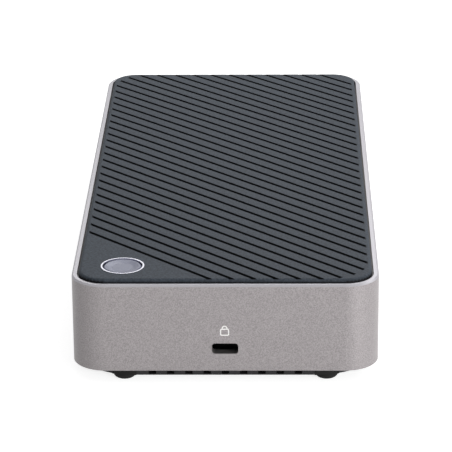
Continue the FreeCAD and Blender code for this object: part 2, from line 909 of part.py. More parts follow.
def make_button():
    """Button with a dished face and two lugs that hold it under the sleeve."""
    top = deck_top_z
    floor_z = top - button_dish
    dish_radius = button_radius - button_bevel - button_land
    profile = path([
        (0, lug_bottom_z),
        (button_radius, lug_bottom_z),
        (button_radius, top - button_bevel),
        (button_radius - button_bevel, top),
        (dish_radius, top),
        (dish_radius - button_dish_slope, floor_z),
        (0, floor_z),
        (0, lug_bottom_z),
    ])
    lugs = box_on(
        button_x, button_y, 2 * (button_bore + button_lug_reach), button_lug_width, lug_bottom_z, lug_top_z
    )
    return joined([turned(profile, button_x, button_y), lugs])


def make_switch():
    """Push switch under the button: its body, and the plunger that travels with the button."""
    body = box_on(button_x, button_y, switch_size, switch_size, button_board_top_z, switch_top_z)
    well_size = plunger_size + 2 * plunger_clearance
    well_bottom_z = switch_top_z - plunger_seat - button_travel - button_lug_gap
    well = box_on(button_x, button_y, well_size, well_size, well_bottom_z, switch_top_z)
    plunger = box_on(
        button_x, button_y, plunger_size, plunger_size, switch_top_z - plunger_seat, lug_bottom_z
    )
    return body.cut(well), plunger


def make_button_board():
    """Small board that carries the switch, held by two hooks of the deck."""
    return box(
        button_x - button_board_left, button_x + button_board_right,
        button_y - button_board_front, button_y + button_board_rear,
        button_board_bottom_z, button_board_top_z
    )


def make_main_board():
    """Main board on the base's posts."""
    return box_on(0, 0, board_width, board_length, board_bottom_z, board_top_z)


def make_heat_sink():
    """Finned heat sink on the hub chip's pad."""
    bottom_z = hub_top_z + thermal_pad_thickness
    base_top_z = bottom_z + heat_sink_base
    y0 = hub_chip_y - heat_sink_length / 2
    y1 = hub_chip_y + heat_sink_length / 2
    pieces = [box(-heat_sink_width / 2, heat_sink_width / 2, y0, y1, bottom_z, base_top_z)]
    pitch = (heat_sink_width - fin_thickness) / (fin_count - 1)
    for index in range(fin_count):
        x = -heat_sink_width / 2 + index * pitch
        pieces.append(box(x, x + fin_thickness, y0, y1, base_top_z, base_top_z + fin_height))
    return joined(pieces)


def make_chip(size_x, size_y, height, x, y):
    """Flat chip package that lies on the main board."""
    return box_on(x, y, size_x, size_y, board_top_z, board_top_z + height)


def make_ribbon():
    """Ribbon with its two sockets: folded twice on its way from the button board to the main board."""
    y = ribbon_y - half_length
    x1 = button_x + button_board_right - ribbon_socket_inset
    x0 = x1 - ribbon_socket_depth
    half_y = ribbon_socket_width / 2
    upper_bottom_z = button_board_bottom_z - ribbon_socket_height
    upper = box(x0, x1, y - half_y, y + half_y, upper_bottom_z, button_board_bottom_z)
    lower = box(x0, x1, y - half_y, y + half_y, board_top_z, board_top_z + ribbon_socket_height)
    start_x = x1 - ribbon_grip
    fold_x = x1 + ribbon_lead
    top_z = button_board_bottom_z - (ribbon_socket_height - ribbon_thickness) / 2
    bottom_z = board_top_z + (ribbon_socket_height - ribbon_thickness) / 2
    points = [
        (start_x, top_z),
        (fold_x, top_z),
        (fold_x, bottom_z),
        (start_x, bottom_z),
        (start_x, bottom_z + ribbon_thickness),
        (fold_x - ribbon_thickness, bottom_z + ribbon_thickness),
        (fold_x - ribbon_thickness, top_z - ribbon_thickness),
        (start_x, top_z - ribbon_thickness),
        (start_x, top_z),
    ]
    section = Part.Face(Part.Wire(path(points)))
    section.translate(V(0, y - ribbon_width / 2, 0))
    ribbon = section.extrude(V(0, ribbon_width, 0))
    return upper.cut(ribbon), lower.cut(ribbon), ribbon


def make_lock_bracket():
    """Steel plate behind the lock slot, slid into the rails of the front wall."""
    inside_y = -inner_length / 2
    outside_y = inside_y + bracket_thickness
    plate = box(
        -bracket_width / 2, bracket_width / 2, inside_y, outside_y,
        lock_slot_z - bracket_below, lock_slot_z + bracket_above
    )
    half_slot = lock_slot_width / 2 + bracket_slot_clearance
    slot_reach = lock_slot_height / 2 + bracket_slot_clearance
    return plate.cut(box(
        -half_slot, half_slot, inside_y, outside_y, lock_slot_z - slot_reach, lock_slot_z + slot_reach
    ))


def make_cover_screws():
    """The two screws under the rear feet, as one group."""
    seat_top_z = pocket_top_z + cover_screw_sink
    tip_z = pocket_top_z + cover_screw_length
    return Part.Compound([
        countersunk(x, y, pocket_top_z, seat_top_z, tip_z, cover_screw_head, cover_screw_diameter)
        for x, y in screw_places
    ])


def make_board_pieces():
    """Chips, coils, capacitors and the network transformer on the main board."""
    network_back_x = half_width - port_setback - network_depth
    transformer_x = network_back_x - transformer_gap - transformer_width / 2
    transformer_y = right_ports_y["network_socket"]
    pad_top_z = hub_top_z + thermal_pad_thickness
    coils = [make_chip(coil_size, coil_size, coil_height, x, y) for x, y in coil_places]
    capacitors = [
        make_chip(capacitor_length, capacitor_width, capacitor_height, x, y) for x, y in capacitor_places
    ]
    return {
        "hub_chip": make_chip(hub_chip_size, hub_chip_size, hub_chip_height, 0, hub_chip_y),
        "thermal_pad": box_on(0, hub_chip_y, hub_chip_size, hub_chip_size, hub_top_z, pad_top_z),
        "heat_sink": make_heat_sink(),
        "video_chip": make_chip(video_chip_size, video_chip_size, video_chip_height, *video_chip_place),
        "memory_chip": make_chip(
            memory_chip_width, memory_chip_length, memory_chip_height, *memory_chip_place
        ),
        "network_transformer": make_chip(
            transformer_width, transformer_length, transformer_height, transformer_x, transformer_y
        ),
        "power_coils": Part.Compound(coils),
        "filter_capacitors": Part.Compound(capacitors),
    }


def make_nodes():
    """Every piece of the docking station by node name."""
    nodes, windows = make_sockets()
    nodes["side_frame"] = make_frame(windows)
    nodes["top_cover"] = make_top_cover()
    nodes["bottom_cover"] = make_bottom_cover()
    for name, (x, y) in foot_places.items():
        nodes[name] = make_foot(x, y)
    nodes["button_bezel"] = make_bezel()
    nodes["button_cap"] = make_button()
    nodes["switch_body"], nodes["switch_plunger"] = make_switch()
    nodes["button_board"] = make_button_board()
    nodes["main_board"] = make_main_board()
    nodes["ribbon_socket_upper"], nodes["ribbon_socket_lower"], nodes["button_ribbon"] = make_ribbon()
    nodes["lock_bracket"] = make_lock_bracket()
    nodes["cover_screws"] = make_cover_screws()
    nodes.update(make_board_pieces())
    return nodes


os.makedirs("parts", exist_ok=True)
for node_name, shape in make_nodes().items():
    shape.exportStep("parts/" + node_name + ".step")
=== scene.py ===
"""Finishes, socket contacts, rubber feet and a printed lock sign for a docking station, in a white studio."""

import json
import logging
import math
from contextlib import contextmanager
from dataclasses import dataclass, replace
from enum import Enum
from typing import Callable, Iterator

import bmesh
import bpy
from mathutils import Matrix, Vector

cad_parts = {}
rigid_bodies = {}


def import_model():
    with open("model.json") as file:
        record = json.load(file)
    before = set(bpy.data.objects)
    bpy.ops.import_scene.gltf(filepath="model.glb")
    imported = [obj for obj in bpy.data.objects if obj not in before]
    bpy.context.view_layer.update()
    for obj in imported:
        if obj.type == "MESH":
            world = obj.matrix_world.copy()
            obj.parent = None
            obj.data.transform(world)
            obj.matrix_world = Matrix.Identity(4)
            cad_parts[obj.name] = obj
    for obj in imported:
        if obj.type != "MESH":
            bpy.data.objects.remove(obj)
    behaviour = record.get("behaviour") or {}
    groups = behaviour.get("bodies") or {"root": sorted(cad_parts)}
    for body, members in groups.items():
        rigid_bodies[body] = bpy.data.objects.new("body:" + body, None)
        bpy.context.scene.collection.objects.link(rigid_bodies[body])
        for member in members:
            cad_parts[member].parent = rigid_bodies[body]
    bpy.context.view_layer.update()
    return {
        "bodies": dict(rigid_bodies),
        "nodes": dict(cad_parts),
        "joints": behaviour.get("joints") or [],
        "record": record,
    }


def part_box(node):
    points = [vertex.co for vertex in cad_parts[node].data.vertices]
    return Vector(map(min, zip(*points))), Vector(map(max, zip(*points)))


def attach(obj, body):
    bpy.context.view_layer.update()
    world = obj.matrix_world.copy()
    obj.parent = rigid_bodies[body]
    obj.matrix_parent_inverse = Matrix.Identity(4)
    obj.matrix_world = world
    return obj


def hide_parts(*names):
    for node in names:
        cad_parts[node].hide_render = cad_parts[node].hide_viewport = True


Tree = bpy.types.NodeTree
Node = bpy.types.Node
Socket = bpy.types.NodeSocket
Box = tuple[Vector, Vector]
Colour = tuple[float, float, float, float]

LOG = logging.getLogger("docking_station")
MM = 0.001
IMAGE_PIXELS = 452
HOUSING = "housing"
# Least part of a normal or direction that counts as along an axis, and as exactly along it.
ALONG, EXACTLY_ALONG = (0.9, 0.999)
# Sockets of a Mix node by number, because their names repeat for each type of data.
NUMBER_A, NUMBER_B, COLOUR_A, COLOUR_B = (2, 3, 6, 7)
NUMBER_OUT, COLOUR_OUT = (0, 2)
# Detail of the noise in a grain, and the span that most of its values lie in.
NOISE_DETAIL = 2.0
NOISE_SPAN = (0.3, 0.7)


class Element(Enum):
    """What an edit-mode selection is made of."""

    VERTEX = "VERT"
    EDGE = "EDGE"
    FACE = "FACE"


class Side(Enum):
    """The long side that a socket opens to, as the direction of its mouth along X."""

    LEFT = -1
    RIGHT = 1


def linear(colour: str) -> Colour:
    """Turns an sRGB hex colour to linear light.

    Args:
        colour: Six hex digits after a hash sign.

    Returns:
        Linear red, green and blue, and an alpha of 1.
    """
    parts = [int(colour[index:index + 2], 16) / 255 for index in (1, 3, 5)]
    curve = [part / 12.92 if part <= 0.04045 else ((part + 0.055) / 1.055) ** 2.4 for part in parts]
    return (curve[0], curve[1], curve[2], 1.0)


def shaded(colour: str, factor: float) -> Colour:
    """Makes a colour lighter or darker.

    Args:
        colour: An sRGB hex colour.
        factor: What its linear values are multiplied by.

    Returns:
        Linear red, green and blue, none over 1, and an alpha of 1.
    """
    red, green, blue = (min(1.0, part * factor) for part in linear(colour)[:3])
    return (red, green, blue, 1.0)


def add_node(
    tree: Tree,
    kind: str,
    settings: dict[str, object] | None = None,
    inputs: dict[str | int, object] | None = None,
) -> Node:
    """Adds a node with its settings and links.

    Args:
        tree: The material's or world's node tree.
        kind: The node's type name.
        settings: Values of the node's own properties.
        inputs: A constant, or another node's output, for each input named.

    Returns:
        The new node.
    """
    node = tree.nodes.new(kind)
    for name, value in (settings or {}).items():
        setattr(node, name, value)
    for name, value in (inputs or {}).items():
        if isinstance(value, Socket):
            tree.links.new(value, node.inputs[name])
        else:
            node.inputs[name].default_value = value
    return node


def outline_measure(tree: Tree, place: Socket, half_mm: tuple[float, float], corner_mm: float) -> Socket:
    """Measures how far a point lies outside the rectangle between a rounded outline's corner centres.

    Args:
        tree: The material's node tree.
        place: Object coordinates, in metres.
        half_mm: Half the outline's width and length.
        corner_mm: Its corner radius.

    Returns:
        The distance in metres: the corner radius on the outline, and less inside it.
    """
    # The last value is larger than any height, so that the height doesn't count.
    inner = ((half_mm[0] - corner_mm) * MM, (half_mm[1] - corner_mm) * MM, 1.0)
    steps = (("ABSOLUTE", {}), ("SUBTRACT", {1: inner}), ("MAXIMUM", {1: (0.0, 0.0, 0.0)}))
    for operation, inputs in steps:
        chained = {0: place, **inputs}
        place = add_node(tree, "ShaderNodeVectorMath", {"operation": operation}, chained).outputs["Vector"]
    return add_node(tree, "ShaderNodeVectorMath", {"operation": "LENGTH"}, {0: place}).outputs["Value"]


@dataclass(frozen=True)
class Finish:
    """A surface with a fine grain: its colour, roughness and relief all follow one noise.

    Attributes:
        name: What the material is and how its surface was made.
        colour: The mean colour.
        roughness: The mean roughness.
        grain_mm: The size of one grain.
        spread: How far the colour strays to each side of its mean, as a share.
        relief_mm: The height of the grain.
        metallic: 1 for a bare metal.
        ior: The index of refraction of the surface.
        specular: The strength of the gloss over the colour, 0.5 for a plain surface.
        roughness_spread: How far the roughness strays to each side of its mean.
    """

    name: str
    colour: str
    roughness: float
    grain_mm: float
    spread: float
    relief_mm: float
    metallic: float = 0.0
    ior: float = 1.5
    specular: float = 0.5
    roughness_spread: float = 0.05

    def material(self) -> bpy.types.Material:
        """Builds the material.

        Returns:
            A material with its node tree.
        """
        material = bpy.data.materials.new(self.name)
        material.use_nodes = True
        tree = material.node_tree
        tree.nodes.clear()
        constants = {"Metallic": self.metallic, "IOR": self.ior, "Specular IOR Level": self.specular}
        shader = add_node(tree, "ShaderNodeBsdfPrincipled", None, constants)
        add_node(tree, "ShaderNodeOutputMaterial", None, {"Surface": shader.outputs["BSDF"]})
        place = add_node(tree, "ShaderNodeTexCoord").outputs["Object"]
        self.dress(tree, shader, place)
        return material

    def dress(self, tree: Tree, shader: Node, place: Socket) -> None:
        """Links colour, roughness and relief to the shader.

        Args:
            tree: The material's node tree.
            shader: Its surface shader.
            place: Object coordinates, in metres.
        """
        grain = self.grain(tree, place)
        limits = {
            "Value": grain,
            "To Min": self.roughness - self.roughness_spread,
            "To Max": self.roughness + self.roughness_spread,
        }
        rough = add_node(tree, "ShaderNodeMapRange", None, limits)
        relief = {"Height": grain, "Distance": self.relief_mm * MM}
        bump = add_node(tree, "ShaderNodeBump", None, relief)
        tree.links.new(self.tint(tree, place, grain), shader.inputs["Base Color"])
        tree.links.new(rough.outputs["Result"], shader.inputs["Roughness"])
        tree.links.new(bump.outputs["Normal"], shader.inputs["Normal"])

    def grain(self, tree: Tree, place: Socket) -> Socket:
        """Makes the noise of the grain.

        Args:
            tree: The material's node tree.
            place: Object coordinates, in metres.

        Returns:
            A value from 0 to 1.
        """
        noise = {"Vector": place, "Scale": 1 / (self.grain_mm * MM), "Detail": NOISE_DETAIL}
        return add_node(tree, "ShaderNodeTexNoise", None, noise).outputs["Fac"]

    def tint(self, tree: Tree, place: Socket, grain: Socket) -> Socket:
        """Spreads the colour over the grain.

        Args:
            tree: The material's node tree.
            place: Object coordinates, in metres; not used here.
            grain: The grain's value.

        Returns:
            The colour.
        """
        ramp = add_node(tree, "ShaderNodeValToRGB", None, {"Fac": grain})
        low, high = ramp.color_ramp.elements
        low.position, high.position = NOISE_SPAN
        low.color = shaded(self.colour, 1 - self.spread)
        high.color = shaded(self.colour, 1 + self.spread)
        return ramp.outputs["Color"]


@dataclass(frozen=True)
class GroovedDeckFinish(Finish):
    """Grained moulding with shade painted into its grooves and on the lower part of its rounded edge.

    Attributes:
        groove_shade_colour: The painted shade inside a groove.
        shade_fade_mm: How far below the ribs the painted shade starts and is full.
        follow: How far the tone of the ribs follows them down the rounded edge, from 0 to 1; below that the edge
            is painted with the groove's shade.
        round_mm: Radius of that edge.
        corner_mm: Its corner radius.
        half_mm: Half its width and length.
        top_mm: The level of the ribs.
    """

    groove_shade_colour: str = "#000000"
    shade_fade_mm: tuple[float, float] = (0.0, 1.0)
    follow: float = 1.0
    round_mm: float = 1.0
    corner_mm: float = 1.0
    half_mm: tuple[float, float] = (0.0, 0.0)
    top_mm: float = 0.0

    def tint(self, tree: Tree, place: Socket, grain: Socket) -> Socket:
        """Paints shade into the grooves and on the lower rounded edge.

        Args:
            tree: The material's node tree.
            place: Object coordinates, in metres.
            grain: The grain's value.

        Returns:
            The colour.
        """
        # The deeper a point lies under the ribs, the more of the painted groove shade it gets.
        start, end = self.shade_fade_mm
        levels = {"Value": self.depth(tree, place), "From Min": start * MM, "From Max": end * MM}
        deep = add_node(tree, "ShaderNodeMapRange", {"interpolation_type": "SMOOTHSTEP"}, levels)
        colours = {
            "Factor": deep.outputs["Result"],
            COLOUR_A: super().tint(tree, place, grain),
            COLOUR_B: linear(self.groove_shade_colour),
        }
        return add_node(tree, "ShaderNodeMix", {"data_type": "RGBA"}, colours).outputs[COLOUR_OUT]

    def depth(self, tree: Tree, place: Socket) -> Socket:
        """Measures how deep a point lies under the ribs, which fall with the rounded edge.

        Args:
            tree: The material's node tree.
            place: Object coordinates, in metres.

        Returns:
            The depth in metres.
        """
        fall = self.follow * self.round_mm * MM
        into_round = {
            "Value": outline_measure(tree, place, self.half_mm, self.corner_mm),
            "From Min": (self.corner_mm - self.round_mm) * MM,
            "From Max": self.corner_mm * MM,
        }
        share = add_node(tree, "ShaderNodeMapRange", None, into_round).outputs["Result"]
        # The sine of the share's arc cosine is the height that is left on a quarter round.
        for operation in ("ARCCOSINE", "SINE"):
            share = add_node(tree, "ShaderNodeMath", {"operation": operation}, {0: share}).outputs["Value"]
        height = add_node(tree, "ShaderNodeSeparateXYZ", None, {"Vector": place}).outputs["Z"]
        under_foot = {0: self.top_mm * MM - fall, 1: height}
        under = add_node(tree, "ShaderNodeMath", {"operation": "SUBTRACT"}, under_foot).outputs["Value"]
        under_ribs = {0: share, 1: fall, 2: under}
        return add_node(tree, "ShaderNodeMath", {"operation": "MULTIPLY_ADD"}, under_ribs).outputs["Value"]


@dataclass(frozen=True)
class CoatedBandFinish(Finish):
    """Coated casting with a cut rim painted lighter, partly as a highlight, and with shade painted a little way
    inside its cut-outs.

    Attributes:
        cutout_shade_colour: The darker colour painted inside the cut-outs as shade.
        shade_depth_mm: How deep into a cut-out the painted shade takes over from the coat.
        rim_colour: The colour of the cut rim, lighter than the coat partly as a painted highlight of its lit top
            edge.
        rim_roughness: The roughness of the cut rim.
        rim_metallic: How metallic the cut rim is.
        chamfer_mm: Height of the rim's cut edge.
        corner_mm: The band's corner radius.
        half_mm: Half its width and length.
        rim_mm: The level of the rim.
    """

    cutout_shade_colour: str = "#000000"
    shade_depth_mm: float = 1.0
    rim_colour: str = "#FFFFFF"
    rim_roughness: float = 0.3
    rim_metallic: float = 1.0
    chamfer_mm: float = 1.0
    corner_mm: float = 1.0
    half_mm: tuple[float, float] = (0.0, 0.0)
    rim_mm: float = 0.0

    def dress(self, tree: Tree, shader: Node, place: Socket) -> None:
        """Makes the rim's gloss and metal differ from the coat's.

        Args:
            tree: The material's node tree.
            shader: Its surface shader.
            place: Object coordinates, in metres.
        """
        super().dress(tree, shader, place)
        coat_roughness = shader.inputs["Roughness"].links[0].from_socket
        changes = {
            "Roughness": (coat_roughness, self.rim_roughness),
            "Metallic": (self.metallic, self.rim_metallic),
        }
        for socket, (coat, rim) in changes.items():
            values = {"Factor": self.on_rim(tree, place), NUMBER_A: coat, NUMBER_B: rim}
            mixed = add_node(tree, "ShaderNodeMix", {"data_type": "FLOAT"}, values)
            tree.links.new(mixed.outputs[NUMBER_OUT], shader.inputs[socket])

    def tint(self, tree: Tree, place: Socket, grain: Socket) -> Socket:
        """Lays the coat over the shade painted inside the cut-outs, and the rim's colour, lighter partly as a
        painted highlight, over both.

        Args:
            tree: The material's node tree.
            place: Object coordinates, in metres.
            grain: The grain's value.

        Returns:
            The colour.
        """
        # Deeper than shade_depth_mm inside a cut-out, the coat gives way to the painted shade.
        depth = {
            "Value": outline_measure(tree, place, self.half_mm, self.corner_mm),
            "From Min": (self.corner_mm - self.shade_depth_mm) * MM,
            "From Max": (self.corner_mm - self.shade_depth_mm / 2) * MM,
        }
        coated = add_node(tree, "ShaderNodeMapRange", None, depth).outputs["Result"]
        coat = (coated, super().tint(tree, place, grain))
        # The rim's colour is lighter than the coat, partly as a painted highlight of its lit top edge.
        rim = (self.on_rim(tree, place), linear(self.rim_colour))
        colour: Colour | Socket = linear(self.cutout_shade_colour)
        for share, over in (coat, rim):
            colours = {"Factor": share, COLOUR_A: colour, COLOUR_B: over}
            colour = add_node(tree, "ShaderNodeMix", {"data_type": "RGBA"}, colours).outputs[COLOUR_OUT]
        return colour

    def on_rim(self, tree: Tree, place: Socket) -> Socket:
        """Tells the rim from the rest.

        Args:
            tree: The material's node tree.
            place: Object coordinates, in metres.

        Returns:
            1 on the rim, otherwise 0.
        """
        height = add_node(tree, "ShaderNodeSeparateXYZ", None, {"Vector": place}).outputs["Z"]
        level = {0: height, 1: (self.rim_mm - self.chamfer_mm) * MM}
        return add_node(tree, "ShaderNodeMath", {"operation": "GREATER_THAN"}, level).outputs["Value"]


@dataclass(frozen=True)
class BrushedFinish(Finish):
    """Sheet metal with fine drawn lines along its length.

    Attributes:
        stretch: How many times longer a line is than it is wide.
    """

    stretch: float = 14.0

    def grain(self, tree: Tree, place: Socket) -> Socket:
        """Makes noise drawn out along X.

        Args:
            tree: The material's node tree.
            place: Object coordinates, in metres.

        Returns:
            A value from 0 to 1.
        """
        squeeze = {"Vector": place, "Scale": (1 / self.stretch, 1.0, 1.0)}
        drawn = add_node(tree, "ShaderNodeMapping", None, squeeze)
        return super().grain(tree, drawn.outputs["Vector"])


@dataclass(frozen=True)
class BoardFinish(Finish):
    """Lacquered circuit board with lighter copper tracks under the lacquer.

    Attributes:
        track_colour: The colour over a track.
        track_mm: The spacing of the tracks.
        track_share: The width of a track as a share of that spacing.
    """

    track_colour: str = "#2F7A50"
    track_mm: float = 1.2
    track_share: float = 0.03

    def tint(self, tree: Tree, place: Socket, grain: Socket) -> Socket:
        """Lays tracks over the lacquer's colour.

        Args:
            tree: The material's node tree.
            place: Object coordinates, in metres.
            grain: The grain's value, which the tracks don't follow.

        Returns:
            The colour.
        """
        rows = {
            "Vector": place,
            "Color1": linear(self.colour),
            "Color2": shaded(self.colour, 1 + self.spread),
            "Mortar": linear(self.track_colour),
            "Scale": 1 / (self.track_mm * MM),
            "Mortar Size": self.track_share,
        }
        return add_node(tree, "ShaderNodeTexBrick", None, rows).outputs["Color"]


# The numbers after a finish's colour are its roughness, grain_mm, spread and relief_mm. Grain finer than
# about 0.1 mm doesn't show at this distance, so every grain is drawn as coarse as it needs to show.

# Cast band under a metallic coat: a fine sparkle of lighter and darker flakes in a warm grey, with a cut rim.
# Real flakes are about 0.05 mm across.
# Inside the band's cut-outs its colour is painted darker, as shade.
BAND = CoatedBandFinish(
    "flake_coated_band", "#9B9697", 0.4, 0.24, 0.24, 0.006, metallic=0.4, specular=0.25,
    # rim_colour is lighter than the coat partly as a painted highlight of the lit top edge.
    cutout_shade_colour="#6A6766", shade_depth_mm=0.5, rim_colour="#AEACB1", rim_roughness=0.4, rim_metallic=0.5,
    chamfer_mm=0.46, corner_mm=9.0,
)
# ABS with a spark-eroded grain: dull, slightly blue-green grey, with shade painted nearly black in the grooves.
# The real grain is about 0.1 mm.
DECK = GroovedDeckFinish(
    "grained_abs_deck_painted_groove_shade", "#40464E", 0.65, 0.55, 0.35, 0.006, ior=1.3, specular=0.3,
    groove_shade_colour="#030406", shade_fade_mm=(0.0, 0.11), follow=0.92, round_mm=1.0, corner_mm=7.2,
)
# The same moulding in charcoal.
BASE = Finish("grained_abs_base", "#1F1E20", 0.6, 0.35, 0.12, 0.008, ior=1.35)
# Silicone rubber: soft, dull and a little dusty.
RUBBER = Finish("soft_rubber", "#121111", 0.8, 0.5, 0.2, 0.01, ior=1.35)
# Bright-dipped plating on a turned ring: near white, with faint turning marks.
RING = Finish("bright_plated_ring", "#DCDCE6", 0.16, 0.2, 0.04, 0.001, metallic=1.0)
# Satin painted ABS: a cool light grey that catches a soft sheen.
CAP = Finish("satin_painted_cap", "#7A7D91", 0.38, 0.3, 0.06, 0.002, specular=0.3)
# Tin-plated sheet, drawn in one direction: bright, with fine lines along its length.
STEEL = BrushedFinish("drawn_tin_plate", "#B9BBBE", 0.3, 0.12, 0.12, 0.002, metallic=1.0)
# Nickel plating on a turned pin: warm and bright.
PIN = Finish("nickel_plate", "#C9C6BF", 0.2, 0.2, 0.05, 0.001, metallic=1.0)
# Gold flash on spring contacts: yellow and bright.
GOLD = Finish("gold_flash", "#D9B45A", 0.24, 0.15, 0.06, 0.001, metallic=1.0)
# Glass-filled black nylon: dark, with a faint fibre grain.
INSERT = Finish("moulded_black_nylon", "#1C1C1E", 0.5, 0.3, 0.25, 0.006)
# Screen-printed white ink, a little uneven where it is thin.
INK = Finish("screen_printed_ink", "#F4F2F0", 0.5, 0.25, 0.05, 0.001)
# Clear polycarbonate light guide with a milky body.
GUIDE = Finish("milky_light_guide", "#C9D2C4", 0.25, 0.4, 0.06, 0.001, ior=1.58)
# Green solder lacquer over copper tracks on glass-fibre board.
BOARD = BoardFinish("lacquered_board", "#0F3D28", 0.35, 0.4, 0.2, 0.004)
# Transfer-moulded epoxy packages: black and slightly speckled.
CHIP = Finish("moulded_epoxy", "#202124", 0.55, 0.25, 0.25, 0.005)
# Moulded capacitor cases: amber, a little mottled and half dull.
AMBER = Finish("amber_moulding", "#B0702A", 0.45, 0.3, 0.12, 0.003)
# Pressed ferrite: dark, dull and granular.
FERRITE = Finish("pressed_ferrite", "#3A3B3D", 0.7, 0.3, 0.25, 0.01)
# Filled silicone pad: chalky and dull.
PAD = Finish("filled_silicone", "#8C959C", 0.8, 0.4, 0.1, 0.01, ior=1.43)
# Extruded aluminium: pale and satin, with the die's lines along its length.
EXTRUSION = BrushedFinish("extruded_aluminium", "#BDBEC2", 0.35, 0.15, 0.1, 0.003, metallic=1.0)
# Ivory nylon: pale and waxy.
IVORY = Finish("ivory_nylon", "#DAD5C6", 0.45, 0.4, 0.05, 0.003)
# Polyester film with printed conductors showing through.
FILM = BrushedFinish("conductor_film", "#C8CACD", 0.3, 0.5, 0.15, 0.001, stretch=40.0)

FINISH_OF_SLOT: dict[str, Finish] = {
    "silver_band": BAND,
    "dark_deck": DECK,
    "dark_base": BASE,
    "foot_rubber": RUBBER,
    "bright_ring": RING,
    "button_grey": CAP,
    "steel": STEEL,
    "pin_metal": PIN,
    "insert_black": INSERT,
    "circuit_board": BOARD,
    "chip_black": CHIP,
    "capacitor_case": AMBER,
    "coil_core": FERRITE,
    "pad_grey": PAD,
    "heat_sink_metal": EXTRUSION,
    "socket_white": IVORY,
    "ribbon_film": FILM,
}


class Paintbox:
    """The materials of the scene, each made once from its finish."""

    def __init__(self) -> None:
        """Starts with no material made."""
        self.made: dict[Finish, bpy.types.Material] = {}

    def apply(self, obj: bpy.types.Object, finish: Finish) -> None:
        """Gives an object one finish all over.

        Args:
            obj: A CAD node's object or a new piece.
            finish: Its finish.
        """
        if finish not in self.made:
            self.made[finish] = finish.material()
        obj.data.materials.clear()
        obj.data.materials.append(self.made[finish])


